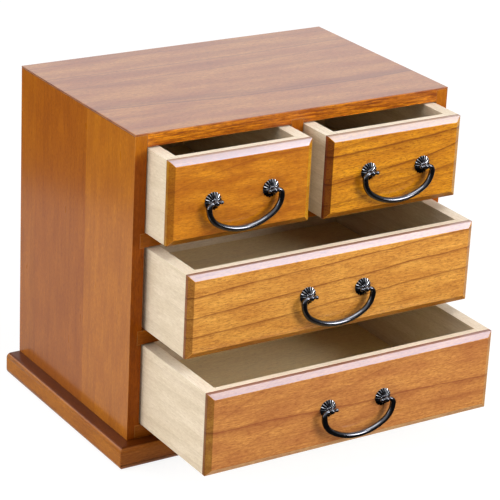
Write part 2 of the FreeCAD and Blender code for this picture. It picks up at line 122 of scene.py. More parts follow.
def fillRamp(ramp, stops):
    while len(ramp.elements) > 1:
        ramp.elements.remove(ramp.elements[-1])
    for spot, (position, level) in enumerate(stops):
        element = ramp.elements[0] if spot == 0 else ramp.elements.new(position)
        element.position = position
        colour = level if hasattr(level, "__len__") else (level, level, level)
        element.color = (*colour, 1)


def blend(graph, share, first, second, how="MIX"):  # colours
    settings = {"data_type": "RGBA", "blend_type": how}
    return graph.add("ShaderNodeMix", settings, [share, first, second])


def tint(graph, share, first, second):  # second multiplied over first
    return blend(graph, share, first, second, "MULTIPLY")


def between(graph, value, low, high):  # 0 below low, 1 above high, smooth in between
    settings = {"interpolation_type": "SMOOTHSTEP", "clamp": True}
    return graph.add("ShaderNodeMapRange", settings, [value, low, high, 0.0, 1.0])


def cloud(graph, x, y, z, detail, roughness=0.5):  # soft noise at the given places
    place = graph.add("ShaderNodeCombineXYZ", {}, [x, y, z])
    settings = {"noise_dimensions": "3D"}
    sockets = {"Vector": place, "Scale": 1.0, "Detail": detail, "Roughness": roughness}
    return graph.add("ShaderNodeTexNoise", settings, sockets)


def objectAxes(graph, scale=1 / mm):  # x, y and z of the piece at rest, in millimetres
    place = graph.add("ShaderNodeTexCoord", output="Object")
    axes = []
    for output in range(3):
        axis = graph.add("ShaderNodeSeparateXYZ", {}, [place], output)
        axes.append(axis * scale)
    return axes


def finishMaterial(graph, sockets):
    surface = graph.add("ShaderNodeBsdfPrincipled", {}, sockets)
    graph.add("ShaderNodeOutputMaterial", {}, {"Surface": surface})


# wood

def facing(axis, side, start, colour, how="MULTIPLY", share=1.0, coatLeft=1.0, streaks=0.0,
           fade=None):
    # how the surfaces differ that are turned one way, mostly as painted light and shade by the way
    # they face, and in one place as grain streaks; start is how far they are turned, at least, and
    # fade is (axis, where it begins to go away, where most of it has gone)
    return {
        "axis": axis, "side": side, "start": start, "colour": colour, "how": how,
        "share": share, "coatLeft": coatLeft, "streaks": streaks, "fade": fade,
    }


# grain names the axes along, across and through the board; lines are dark ring lines on its
# front, each (height at the left, slope, bend, width, strength) in millimetres from origin;
# strips are where boards are glued up, each (where it starts, its tint over those before);
# seams are dark joints, each (axis, start, end, axis that the surface faces along, share)
woodDefaults = {
    "grain": "XZY",
    "origin": (0, 0, 0),
    "pale": (0.62, 0.26, 0.035),
    "warm": (0.50, 0.17, 0.02),
    "dark": (0.22, 0.06, 0.010),
    "streak": (0.44, 0.14, 0.016),
    "endGrain": (0.55, 0.42, 0.30),
    "endShare": 1.0,
    "ringGap": 9.0,
    "ringLean": 0.35,
    "ringSlope": 0.04,
    "ringShare": 0.30,
    "cloudShare": 0.8,
    "cloudSize": (0.025, 0.10),
    "fibreShare": 0.55,
    "poreShare": 0.30,
    "poreRange": (0.50, 0.66),
    "glint": (1.25, 1.35, 1.5),
    "glintShare": 0.7,
    "facings": (),
    "facingSoft": 0.12,
    "fadeShare": 0.8,
    "fadeRagged": 6,
    "seams": (),
    "seamSoft": (0.3, 0.1),
    "seamRagged": 0.6,
    "lines": (),
    "lineReach": 6,
    "lineBreaks": 0.4,
    "wave": 2.2,
    "swayTimes": 4,
    "wearAndSheenShare": 0.25,
    "wearAndSheenColour": (0.72, 0.36, 0.10),
    "strips": (),
    "stripSoft": 0.15,
    "roughness": 0.30,
    "roughnessVaries": 0.12,
    "specular": 0.15,
    "coat": 0.9,
    "coatRoughness": 0.16,
    "bump": 0.10,
    "bumpDeep": 0.1 * mm,
    "fibreRelief": 0.6,
    "poreRelief": 0.8,
}

# how fine each layer of the grain is: per millimetre along and across, detail, roughness
grainScales = {
    "sway": (0.012, 0.03, 1.0, 0.5),
    "ripple": (0.06, 0.05, 2.0, 0.5),
    "ringFade": (0.01, 0.06, 1.0, 0.5),
    "fibre": (0.045, 0.7, 4.0, 0.72),
    "fleck": (0.26, 1.1, 3.0, 0.7),
    "soak": (0.9, 0.9, 3.0, 0.5),
}

# from where to where each layer comes in
grainLevels = {
    "rings": (0.35, 0.65),
    "glints": (0.34, 0.47),
    "mottle": (0.3, 0.7),
    "fibre": (0.38, 0.68),
    "brokenLine": (0.25, 0.5),
    "streaks": (0.40, 0.60),
    "ends": (0.6, 0.9),
    "seamFacing": (0.6, 0.8),
    "easedEdge": (0.3, 0.6),
}


def woodMaterial(name, changes):
    look = {**woodDefaults, **changes}
    material = bpy.data.materials.new(name)
    graph = Graph(material)
    axes = dict(zip("XYZ", objectAxes(graph)))
    along, across, through = (
        axes[letter] - start for letter, start in zip(look["grain"], look["origin"])
    )

    def layer(kind):
        long, wide, detail, roughness = grainScales[kind]
        return cloud(graph, along * long, across * wide, through * wide, detail, roughness)

    def level(value, kind):
        return between(graph, value, *grainLevels[kind])

    # long soft waves that push the grain about
    sway = layer("sway") - 0.5
    ripple = layer("ripple") - 0.5
    push = sway * (look["wave"] * look["swayTimes"]) + ripple * look["wave"]

    # growth rings: slow darkening, then a sharp edge
    height = across + through * look["ringLean"] + along * look["ringSlope"] + push
    count = height / look["ringGap"]
    ring = count.maths("FRACT", count)
    rings = graph.add(
        "ShaderNodeValToRGB",
        {"stops": [(0, 0.1), (0.45, 0.25), (0.86, 0.8), (0.93, 1), (1, 0.1)]},
        [ring],
    )
    rings = rings * level(layer("ringFade"), "rings")

    # drawn ring lines
    lines = None
    for start, slope, bend, width, strength in look["lines"]:
        middle = start + along * (slope + along * bend)
        offset = (across - middle + push) / (width * look["lineReach"]) + 0.5
        line = graph.add(
            "ShaderNodeValToRGB",
            {"stops": [(0, 0), (0.3, 0.12), (0.44, 0.5), (0.5, 1), (0.56, 0.15), (0.62, 0)]},
            [offset],
        )
        line = line * strength
        lines = line if lines is None else lines.higher(line)

    # fibres and pores, long and thin
    fibre = layer("fibre")
    fleck = layer("fleck")
    pores = between(graph, fleck, *look["poreRange"])
    glints = 1 - level(fleck, "glints")
    long, wide = look["cloudSize"]
    mottle = cloud(graph, along * long, across * wide, through * wide, 3.0)

    share = level(mottle, "mottle") * look["cloudShare"]
    colour = blend(graph, share, look["pale"], look["warm"])
    colour = blend(graph, rings * look["ringShare"], colour, look["dark"])
    share = level(fibre, "fibre") * look["fibreShare"]
    colour = blend(graph, share, colour, look["streak"])
    colour = blend(graph, pores * look["poreShare"], colour, look["dark"])
    colour = tint(graph, glints * look["glintShare"], colour, look["glint"])
    if lines is not None:
        breaks = look["lineBreaks"]
        whole = level(fibre + ripple * 0.5, "brokenLine") * breaks + (1 - breaks)
        colour = blend(graph, lines * whole, colour, look["dark"])

    for start, shade in look["strips"]:
        beyond = between(graph, across, start - look["stripSoft"], start + look["stripSoft"])
        colour = tint(graph, beyond, colour, shade)

    # the ends of the boards take the stain in another way
    normal = graph.add("ShaderNodeTexCoord", output="Normal")
    normals = {
        letter: graph.add("ShaderNodeSeparateXYZ", {}, [normal], output)
        for output, letter in enumerate("XYZ")
    }
    ends = level(abs(normals[look["grain"][0]]), "ends")
    soaked = ends * (layer("soak") * 0.5 + 0.5)
    colour = tint(graph, soaked * look["endShare"], colour, look["endGrain"])

    coat = look["coat"]
    # painted light and shade by the way each surface faces, and grain streaks where a facing asks
    for way in look["facings"]:
        start = way["start"]
        turn = normals[way["axis"]] * way["side"]
        turned = between(graph, turn, start, start + look["facingSoft"])
        amount = turned * way["share"]
        if way["streaks"] > 0:
            amount = amount * (level(fibre, "streaks") * way["streaks"])
        if way["fade"]:
            axis, begin, gone = way["fade"]
            place = axes[axis] + ripple * look["fadeRagged"]
            amount = amount * (1 - between(graph, place, begin, gone) * look["fadeShare"])
        colour = blend(graph, amount, colour, way["colour"], way["how"])
        if way["coatLeft"] < 1:
            coat = (1 - turned * (1 - way["coatLeft"])) * coat

    startSoft, endSoft = look["seamSoft"]
    for axis, start, end, way, share in look["seams"]:
        place = axes[axis] + ripple * look["seamRagged"]
        seam = between(graph, place, start, start + startSoft)
        seam = seam * (1 - between(graph, axes[axis], end - endSoft, end + endSoft))
        seam = seam * level(abs(normals[way]), "seamFacing") * share
        colour = blend(graph, seam, colour, look["dark"])
        coat = (1 - seam) * coat

    # eased edges are painted a little paler, partly as wear and partly as a painted edge highlight
    easedEdge = graph.add("ShaderNodeAttribute", {"attribute_name": "easedEdge"}, output="Fac")
    rubbedAndSheen = easedEdge * level(ripple + 0.5, "easedEdge") * look["wearAndSheenShare"]
    colour = blend(graph, rubbedAndSheen, colour, look["wearAndSheenColour"])

    relief = fibre * look["fibreRelief"] - pores * look["poreRelief"]
    normal = graph.add("ShaderNodeBump", {}, {
        "Height": relief, "Strength": look["bump"], "Distance": look["bumpDeep"],
    })
    finishMaterial(graph, {
        "Base Color": colour,
        "Roughness": look["roughness"] + (mottle - 0.5) * look["roughnessVaries"],
        "Normal": normal,
        "Specular IOR Level": look["specular"],
        "Coat Weight": coat,
        "Coat Roughness": look["coatRoughness"],
    })
    return material


topLook = {
    "grain": "XYZ",
    "origin": (-150, 0, 0),
    "pale": (0.42, 0.18, 0.050),
    "warm": (0.27, 0.090, 0.050),
    "dark": (0.10, 0.022, 0.022),
    "streak": (0.30, 0.09, 0.03),
    "ringGap": 26.0,
    "ringShare": 0.35,
    "fibreShare": 0.8,
    "poreShare": 0.45,
    "lines": (
        (-45.0, -0.03, 0.00015, 1.0, 1.0),
        (-74.0, 0.0, 0.0002, 0.9, 0.8),
        (-129.0, -0.17, 0.0004, -2.0, 1.0),
        (-124.0, -0.15, 0.0003, -8.0, 0.4),
        (-12.0, 0.0, 0.0, 1.2, 0.6),
    ),
    "cloudSize": (0.012, 0.06),
    "facings": (
        # painted light: the front edge is painted brighter and more orange than the top face; the
        # next facing adds dark grain streaks there
        facing("Y", -1, 0.7, (1.82, 1.48, 0.10), coatLeft=0.2),
        facing("Y", -1, 0.7, (0.40, 0.30, 0.30), streaks=0.9),
    ),
    "roughness": 0.34,
    "specular": 0.25,
    "coat": 0.36,
    "coatRoughness": 0.30,
}
sideLook = {
    "grain": "ZYX",
    "pale": (0.39, 0.112, 0.003),
    "warm": (0.31, 0.080, 0.002),
    "dark": (0.16, 0.035, 0.002),
    "streak": (0.26, 0.065, 0.002),
    "specular": 0.08,
    "coat": 0.62,
    "poreShare": 0.35,
    "ringGap": 7.0,
    "ringSlope": 0.01,
    "strips": ((-196, (1.18, 1.35, 1.9)), (-116.5, (0.80, 0.70, 0.6)), (-27, (1.05, 1.1, 1.1))),
    "facings": (
        # painted shadow on the front edge, where the open drawers shade it, mostly gone above them
        facing("Y", -1, 0.7, (0.68, 0.47, 0.17), coatLeft=0.15, fade=("Z", 258, 272)),
    ),
    "seams": (("Z", 280.6, 290, "X", 0.8),),
}
caseLook = {
    "grain": "XYZ",
    "pale": (0.42, 0.13, 0.006),
    "warm": (0.32, 0.085, 0.004),
    "dark": (0.16, 0.035, 0.003),
    "specular": 0.1,
    # painted shade on the front edges, set back between the open drawers; the divider has it too
    "facings": (facing("Y", -1, 0.7, (0.85, 0.75, 0.5), coatLeft=0.15),),
}
stileLook = {**caseLook, "grain": "ZXY"}
plinthFrontLook = {
    "grain": "XZY",
    "pale": (0.34, 0.10, 0.010),
    "warm": (0.25, 0.065, 0.007),
    "dark": (0.13, 0.030, 0.004),
    "specular": 0.08,
    "coat": 0.35,
    "endShare": 0.3,
    # painted shade on the plinth's top ledge
    "facings": (facing("Z", 1, 0.8, (0.35, 0.25, 0.2), coatLeft=0.1),),
}
plinthSideLook = {
    **plinthFrontLook,
    "grain": "YZX",
    "pale": (0.42, 0.135, 0.010),
    "warm": (0.30, 0.080, 0.005),
    "facings": (
        # painted shade on the top ledge, and a little painted shade on the left face
        facing("Z", 1, 0.8, (0.35, 0.25, 0.2), coatLeft=0.1),
        facing("X", -1, 0.6, (0.93, 0.97, 0.5), coatLeft=0.3),
    ),
}
# painted light on the faces' edges: a pale painted sheen on the top bevels, kept warmer on the
# flat top, painted shade on the left bevels, painted shade on the low bevels but painted light on
# the bottom drawer's, and on the right bevels painted sheen on the top left and bottom drawers and
# painted shade on the other two
faceShared = {
    "grain": "XZY",
    "topBevelSheenShare": 0.6,
    "topBevelCoat": 0.5,
    "squareTopSheen": (0.86, 0.72, 0.52),
    "squareTopSheenShare": 0.9,
    "jointWide": 1.5,
    "jointReach": 9,
    "jointShare": 0.85,
    "poreShare": 0.50,
    "wearAndSheenShare": 0.0,
    "wave": 1.5,
}
faceLooks = {
    "top_left": {
        "topBevelSheen": (0.44, 0.48, 0.60),
        "leftBevelShade": (0.65, 0.64, 0.65),
        "rightBevelLightAndShade": (0.95, 1.25, 1.7),
        "lowBevelLightAndShade": (0.45, 0.48, 0.6),
        "endGrain": (1.2, 1.6, 0.8),
        "pale": (0.63, 0.236, 0.009),
        "warm": (0.425, 0.129, 0.003),
        "streak": (0.37, 0.108, 0.003),
        "dark": (0.24, 0.055, 0.004),
        "ringGap": 16.0,
        "ringShare": 0.22,
        "ringSlope": -0.3,
        "lines": (
            (-26.0, 0.33, -0.0015, 2.2, 0.55),
            (-78.0, 0.45, -0.0012, 2.0, 0.45),
            (-96.0, 0.50, -0.0012, 2.4, 0.35),
        ),
        "cloudShare": 1.0,
    },
    "top_right": {
        "topBevelSheen": (0.34, 0.345, 0.38),
        "leftBevelShade": (0.31, 0.21, 0.14),
        "rightBevelLightAndShade": (0.76, 0.88, 0.9),
        "lowBevelLightAndShade": (0.52, 0.48, 0.6),
        "endGrain": (1.3, 0.8, 0.04),
        "pale": (0.69, 0.295, 0.009),
        "warm": (0.485, 0.168, 0.003),
        "streak": (0.40, 0.123, 0.003),
        "dark": (0.18, 0.040, 0.002),
        "poreShare": 0.62,
        "ringGap": 7.0,
        "ringShare": 0.65,
        "ringSlope": -0.09,
        "lines": (
            (-16.5, 0.01, 0.0003, 2.8, 1.0),
            (-41.0, 0.06, 0.0007, 1.8, 1.0),
            (-60.0, 0.10, 0.0005, 2.4, 0.6),
        ),
        "fibreShare": 0.5,
    },
    "middle": {
        "topBevelSheen": (0.27, 0.275, 0.40),
        "leftBevelShade": (0.56, 0.52, 0.46),
        "rightBevelLightAndShade": (0.75, 0.76, 0.7),
        "lowBevelLightAndShade": (0.58, 0.48, 0.20),
        "endGrain": (0.65, 0.39, 0.08),
        "pale": (0.72, 0.350, 0.060),
        "warm": (0.54, 0.218, 0.032),
        "streak": (0.455, 0.168, 0.022),
        "dark": (0.20, 0.050, 0.008),
        "ringGap": 17.0,
        "ringShare": 0.15,
        "lines": (
            (-18.6, 0.052, 0.0, 1.3, 1.0),
            (-36.6, 0.058, 0.0, 1.3, 1.0),
            (-53.0, 0.052, 0.0, 1.4, 0.9),
            (-3.0, 0.05, 0.0, 0.7, 0.4),
            (-68.0, 0.05, 0.0, 0.9, 0.4),
        ),
    },
    "bottom": {
        "topBevelSheen": (0.21, 0.165, 0.235),
        "leftBevelShade": (0.64, 0.68, 0.42),
        "rightBevelLightAndShade": (1.05, 1.3, 1.7),
        "lowBevelLightAndShade": (1.12, 1.55, 2.6),
        "endGrain": (0.55, 0.38, 0.08),
        "pale": (0.60, 0.265, 0.062),
        "warm": (0.435, 0.158, 0.041),
        "streak": (0.38, 0.130, 0.031),
        "dark": (0.24, 0.058, 0.018),
        "ringGap": 15.0,
        "ringShare": 0.3,
        "ringSlope": 0.02,
        "lines": (
            (-32.5, -0.022, 0.0, 1.8, 0.85),
            (-30.0, 0.55, -0.001, 1.6, 0.4),
            (-64.0, 0.42, -0.0006, 1.6, 0.4),
            (-50.0, -0.01, 0.0, 1.6, 0.3),
            (-58.0, -0.02, 0.0, 1.2, 0.3),
        ),
    },
}
boxLook = {
    "pale": (0.78, 0.67, 0.51),
    "warm": (0.69, 0.58, 0.42),
    "dark": (0.40, 0.29, 0.17),
    "streak": (0.60, 0.48, 0.33),
    "endGrain": (0.86, 0.80, 0.72),
    # painted light on the upward faces, for light falling from above
    "facings": (facing("Z", 1, 0.7, (1.12, 1.16, 1.24)),),
    "ringGap": 12.0,
    "ringSlope": 0.05,
    "ringShare": 0.28,
    "fibreShare": 0.45,
    "poreShare": 0.22,
    "glintShare": 0.25,
    "wearAndSheenShare": 0.3,
    "wearAndSheenColour": (0.86, 0.76, 0.60),
    "roughness": 0.62,
    "coat": 0.0,
    "bump": 0.25,
}
# the drawer floors are painted brighter and yellower than the rest of the box: painted light, for
# the light that falls into the open drawers
floorLook = {
    "grain": "XYZ",
    "facings": (),
    "pale": (1.0, 0.86, 0.50),
    "warm": (0.97, 0.81, 0.46),
    "streak": (0.92, 0.73, 0.40),
    "ringShare": 0.15,
    "ringGap": 30.0,
}
plyLook = {
    "grain": "XZY",
    "pale": (0.50, 0.30, 0.13),
    "warm": (0.42, 0.24, 0.10),
    "dark": (0.26, 0.13, 0.05),
    "roughness": 0.6,
    "coat": 0.0,
}
woods = {
    "top": woodMaterial("topWood", topLook),
    "side": woodMaterial("sideWood", sideLook),
    "shelf": woodMaterial("shelfWood", caseLook),
    "divider": woodMaterial("dividerWood", stileLook),
    "plinthFront": woodMaterial("plinthFrontWood", plinthFrontLook),
    "plinthSide": woodMaterial("plinthSideWood", plinthSideLook),
    "back": woodMaterial("backWood", plyLook),
    "boxSide": woodMaterial("boxSideWood", {**boxLook, "grain": "YZX"}),
    "boxCross": woodMaterial("boxCrossWood", {**boxLook, "grain": "XZY"}),
    "boxFloor": woodMaterial("boxFloorWood", {**boxLook, **floorLook}),
}
for drawer, faceLook in faceLooks.items():
    look = {**faceShared, **faceLook}
    low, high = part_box(f"{drawer}_face")
    look["origin"] = (low.x / mm, high.z / mm, 0)  # the drawn lines start at its upper left corner
    joint = high.y / mm - look["jointWide"]
    look["seams"] = (("Y", joint, joint + look["jointReach"], "Z", look["jointShare"]),)
    # painted sheen and shade on the bevels and the flat top, set for each drawer
    look["facings"] = (
        facing("Z", 1, 0.35, look["topBevelSheen"], "MIX", look["topBevelSheenShare"], look["topBevelCoat"]),
        facing("Z", 1, 0.75, look["squareTopSheen"], share=look["squareTopSheenShare"]),
        facing("X", -1, 0.35, look["leftBevelShade"], coatLeft=0.5),
        facing("X", 1, 0.35, look["rightBevelLightAndShade"], coatLeft=0.8),
        facing("Z", -1, 0.35, look["lowBevelLightAndShade"], coatLeft=0.4),
    )
    woods[drawer] = woodMaterial(drawer + "_faceWood", look)
print("woods made")


# metal

pullMetal = {
    # deep is the dark of the hollows, and on the rosettes' lowest flutes painted shade; rubbed is
    # worn metal, and on their upper flutes a painted highlight
    "deep": (0.008, 0.009, 0.011),
    "plate": (0.105, 0.110, 0.125),
    "rubbedAndSheen": (0.66, 0.67, 0.71),
    "plateAt": (0.3, 0.6),
    "rubbedAndSheenAt": (0.60, 0.85),
    "rubbedAndSheenShare": 0.9,
    "patchScale": 0.35,
    "gritScale": 4,
    "gritEdge": 0.3,
    "roughness": 0.16,
    "patchRoughness": 0.2,
    "rubbedAndSheenSmoother": 0.05,
    "bump": 0.12,
    "bumpDeep": 0.05 * mm,
}
nutMetal = {
    "plate": (0.55, 0.55, 0.53),
    "dull": (0.6, 0.58, 0.52),
    "dullShare": 0.5,
    "gritScale": 2.5,
    "roughness": 0.35,
    "gritRoughness": 0.25,
}


def darkMetal(name, look):
    material = bpy.data.materials.new(name)
    graph = Graph(material)
    axes = objectAxes(graph)
    patch = cloud(graph, *[axis * look["patchScale"] for axis in axes], 3.0)
    grit = cloud(graph, *[axis * look["gritScale"] for axis in axes], 3.0, 0.7)
    # the rub carries wear, and on the rosettes a painted highlight above and painted shade below
    high = graph.add("ShaderNodeAttribute", {"attribute_name": "rub"}, output="Fac")
    colour = blend(graph, between(graph, high, *look["plateAt"]), look["deep"], look["plate"])
    wornAndSheen = between(graph, high + (grit - 0.5) * look["gritEdge"], *look["rubbedAndSheenAt"])
    colour = blend(graph, wornAndSheen * look["rubbedAndSheenShare"], colour, look["rubbedAndSheen"])
    roughness = look["roughness"] + (patch - 0.5) * look["patchRoughness"]
    normal = graph.add("ShaderNodeBump", {}, {
        "Height": grit, "Strength": look["bump"], "Distance": look["bumpDeep"],
    })
    finishMaterial(graph, {
        "Base Color": colour,
        "Metallic": 1.0,
        "Roughness": roughness - wornAndSheen * look["rubbedAndSheenSmoother"],
        "Normal": normal,
    })
    return material


def plainMetal(name, look):
    material = bpy.data.materials.new(name)
    graph = Graph(material)
    grit = cloud(graph, *[axis * look["gritScale"] for axis in objectAxes(graph)], 3.0, 0.7)
    colour = tint(graph, grit * look["dullShare"], look["plate"], look["dull"])
    finishMaterial(graph, {
        "Base Color": colour,
        "Metallic": 1.0,
        "Roughness": look["roughness"] + (grit - 0.5) * look["gritRoughness"],
    })
    return material


pullMaterial = darkMetal("darkPullMetal", pullMetal)
nutMaterial = plainMetal("zincNutMetal", nutMetal)
print("metals made")


# boards

boardSettings = {
    "ease": 0.35 * mm,
    "segments": 2,
    "shortest": 3 * mm,  # shorter edges stay as they are
    "sharp": 0.45,  # and so do flatter ones, in radians
    "weld": 0.001 * mm,
    "flat": 0.01,
    "crease": 50,
}


def newPiece(name, mesh, material, body, slot, *replaced):
    piece = bpy.data.objects.new(name, mesh)
    scene.collection.objects.link(piece)
    mesh.materials.clear()
    mesh.materials.append(material)
    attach(piece, body)
    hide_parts(*replaced)
    return piece


def easedBoard(node, material, body, slot):  # the board's own shape with its edges eased
    form = bmesh.new()
    form.from_mesh(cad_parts[node].data)
    bmesh.ops.remove_doubles(form, verts=form.verts, dist=boardSettings["weld"])
    bmesh.ops.dissolve_limit(
        form, angle_limit=boardSettings["flat"], verts=form.verts, edges=form.edges,
    )
    sharp = [
        edge for edge in form.edges
        if len(edge.link_faces) == 2
        and edge.calc_face_angle() > boardSettings["sharp"]
        and edge.calc_length() > boardSettings["shortest"]
    ]
    made = bmesh.ops.bevel(
        form, geom=sharp, offset=boardSettings["ease"], segments=boardSettings["segments"],
        profile=0.5, affect="EDGES", clamp_overlap=True,
    )
    easedEdge = form.loops.layers.float.new("easedEdge")
    for face in form.faces:
        face.smooth = True
    for face in made["faces"]:
        for corner in face.loops:
            corner[easedEdge] = 1.0
    mesh = bpy.data.meshes.new(node + "_board")
    form.to_mesh(mesh)
    form.free()
    mesh.set_sharp_from_angle(angle=math.radians(boardSettings["crease"]))
    piece = newPiece(node + "_board", mesh, material, body, slot, node)
    weighted = piece.modifiers.new("flatFaces", "WEIGHTED_NORMAL")
    weighted.keep_sharp = True
    weighted.weight = 100


caseBoards = {
    "top_panel": "top",
    "side_panel_left": "side",
    "side_panel_right": "side",
    "bottom_board": "shelf",
    "shelf_lower": "shelf",
    "shelf_upper": "shelf",
    "drawer_divider": "divider",
    "plinth_front": "plinthFront",
    "plinth_rear": "plinthFront",
    "plinth_left": "plinthSide",
    "plinth_right": "plinthSide",
}
for node, wood in caseBoards.items():
    easedBoard(node, woods[wood], "case", "amber_lacquer")
easedBoard("back_panel", woods["back"], "case", "plain_ply")

boxBoards = {
    "inner_front": "boxCross",
    "side_left": "boxSide",
    "side_right": "boxSide",
    "back": "boxCross",
    "floor": "boxFloor",
}
for drawer in faceLooks:
    easedBoard(f"{drawer}_face", woods[drawer], f"{drawer}_drawer", "amber_lacquer")
    for board, wood in boxBoards.items():
        easedBoard(f"{drawer}_{board}", woods[wood], f"{drawer}_drawer", "pale_wood")
print("boards made")


# pulls

# sizes in millimetres, in the pull's own frame: x along the eyes, z up, the face at y 0;
# a rub is how bright the metal is, from 0 to 1: worn bright, and on the rosettes also a painted
# highlight above and painted shade below
pull = {
    "postHalf": 26.7,
    "reach": 6.0,
    "crease": 55,
    "tilts": {"top_left": 2.7, "top_right": -2.15, "middle": -1.95, "bottom": -1.05},
}
rosette = {
    "flutes": 18,
    "perFlute": 14,
    "rimRadius": 7.8,
    "rimHeight": 0.8,
    "rimDrop": 0.15,
    "backInset": 1.2,
    "edgeInset": 0.35,
    "hubRadius": 2.3,
    "hubHeight": 3.0,
    "hubRings": ((2.25, 0.3), (2.0, 0.42), (1.2, 0.3)),
    "middleRadius": 1.2,
    "domeBulge": 0.5,
    "fluteDeep": 0.95,
    "fluteShallower": 0.55,  # towards the hub
    "fluteEnd": 6,
    "scallop": 0.55,
    "scallopEnd": 5,
    "ridgeSharp": 0.75,
    # painted highlight on the upper flutes and painted shade on the lowest, by their angle
    "sideRubAndSheen": 0.55,
    "upwardSheen": 0.6,
    "rows": 14,
}
post = {
    "shankRadius": 1.6,
    "shankEnd": 15.2,
    "threadRings": 7,
    "threadStart": 0.15,
    "threadStep": 0.25,
    "threadDeep": 0.22,
    "collarRadius": 2.3,
    "collarHeight": 0.35,
    "neckRadius": 1.5,
    "ballRadius": 2.5,
    "ballRings": 14,
    "ballRub": 0.57,
    "eyeRadius": 1.38,
    "sides": 32,
}
bail = {
    "half": 33.4,
    "drop": 25.8,
    "elbow": 3.9,
    "shoulder": 17.0,
    "pin": 1.3,
    "neck": 1.8,
    "side": 2.45,
    "middle": 2.3,
    "swellBend": 1.2,
    "tipInset": 4.7,
    "tipRadius": 1.7,
    "tipRings": 8,
    "tipRingsHalf": 10.5,  # rings that half a turn of the ball would have
    "tipEnd": 0.82,
    "pinPast": 2.5,
    "ballRub": 0.57,
    "bendRub": 0.62,
    "sideRubAndSheen": 0.52,
    "middleRub": 0.62,
    "sides": 24,
    "step": 0.8,
}


def latheMesh(rings):
    # rings joined one to the next and closed at both ends, each (its points, and one rub and sheen
    # value for all of them or one for each)
    form = bmesh.new()
    rub = form.verts.layers.float.new("rub")
    made = []
    for points, value in rings:
        row = [form.verts.new(point) for point in points]
        values = value if hasattr(value, "__len__") else [value] * len(row)
        for vert, own in zip(row, values):
            vert[rub] = own
        made.append(row)
    for lower, upper in zip(made, made[1:]):
        count = len(lower)
        for spot in range(count):
            follow = (spot + 1) % count
            form.faces.new((lower[spot], lower[follow], upper[follow], upper[spot]))
    form.faces.new(list(reversed(made[0])))
    form.faces.new(made[-1])
    bmesh.ops.recalc_face_normals(form, faces=form.faces)
    for face in form.faces:
        face.smooth = True
    mesh = bpy.data.meshes.new("turned")
    form.to_mesh(mesh)
    form.free()
    return mesh


def rosetteMesh(part):
    count = part["flutes"] * part["perFlute"]
    angles = [2 * math.pi * spot / count for spot in range(count)]
    ridges = []
    for angle in angles:
        ridges.append((1 - abs(math.sin(angle * part["flutes"] / 2))) ** part["ridgeSharp"])

    def ring(radius, height, cut=0.0, scallop=0.0):
        points, rubsAndSheen = [], []
        for angle, ridge in zip(angles, ridges):
            reach = (radius - scallop * (1 - ridge)) * mm
            rise = (height - cut * (1 - ridge)) * mm
            points.append((reach * math.cos(angle), -rise, reach * math.sin(angle)))
            # the flute crests are worn brighter than the grooves; a painted highlight makes the
            # upper crests bright and those at the sides half so, and painted shade leaves the
            # lowest dark
            upper = min(1, part["sideRubAndSheen"] + part["upwardSheen"] * math.sin(angle))
            rubsAndSheen.append(ridge * upper if cut > 0 else 0.5)
        return points, rubsAndSheen

    rings = [
        ring(part["middleRadius"], 0.0),
        ring(part["rimRadius"] - part["backInset"], 0.0),
        ring(part["rimRadius"] - part["edgeInset"], 0.0, 0.0, part["scallop"]),
        ring(part["rimRadius"] - 0.05, 0.35, 0.05, part["scallop"]),
    ]
    for row in range(part["rows"] + 1):
        share = row / part["rows"]  # from the rim to the hub
        radius = part["rimRadius"] + (part["hubRadius"] - part["rimRadius"]) * share
        rise = part["hubHeight"] - part["rimHeight"]
        height = part["rimHeight"] + rise * share + part["domeBulge"] * math.sin(math.pi * share)
        deep = part["fluteDeep"] * (1 - share * part["fluteShallower"])
        deep *= min(1, (1 - share) * part["fluteEnd"])
        scallop = part["scallop"] * max(0, 1 - share * part["scallopEnd"])
        if row == 0:
            height -= part["rimDrop"]
        rings.append(ring(radius, height, max(deep, 0.01), scallop))
    for radius, above in part["hubRings"]:
        rings.append(ring(radius, part["hubHeight"] + above))
    return latheMesh(rings)


